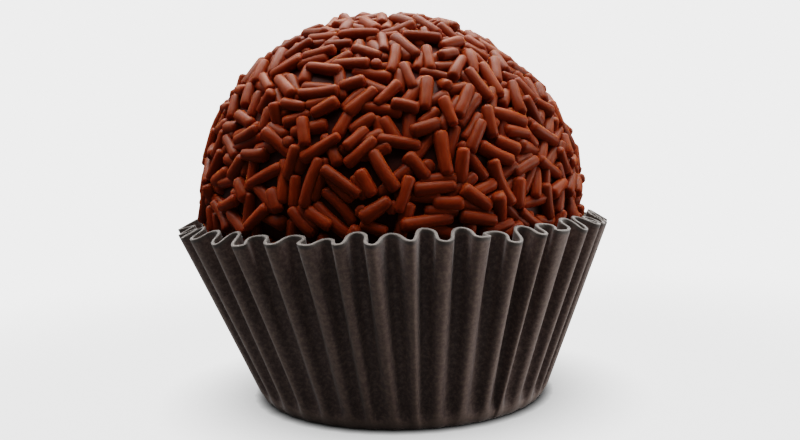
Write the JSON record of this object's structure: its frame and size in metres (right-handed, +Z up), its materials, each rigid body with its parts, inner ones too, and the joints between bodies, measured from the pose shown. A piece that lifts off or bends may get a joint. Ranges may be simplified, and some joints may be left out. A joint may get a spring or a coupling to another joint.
{
  "type": "brigadeiro",
  "caption": "Round chocolate fudge sweet coated all over in chocolate sprinkles, sitting in a dark brown fluted paper case.",
  "frame": {"origin": "middle of the part's outline at the level of the base, where the paper case stands on the table", "axes": "+Z up; -Y is the front; the flutes crowd together slightly on the +X side, where the base also stands a little further out"},
  "size_m": [0.0384, 0.0383, 0.0342],
  "materials": {
    "chocolate_sprinkles": "satin milk chocolate sprinkles, lightly waxy",
    "chocolate_fudge": "glossy, sticky dark fudge between the sprinkles",
    "brown_paper": "matte greaseproof paper with a fine fibre grain and a paler cut edge"
  },
  "bodies": {
    "root": {"sweet": "chocolate_sprinkles", "paper_case": "brown_paper"}
  },
  "joints": []
}
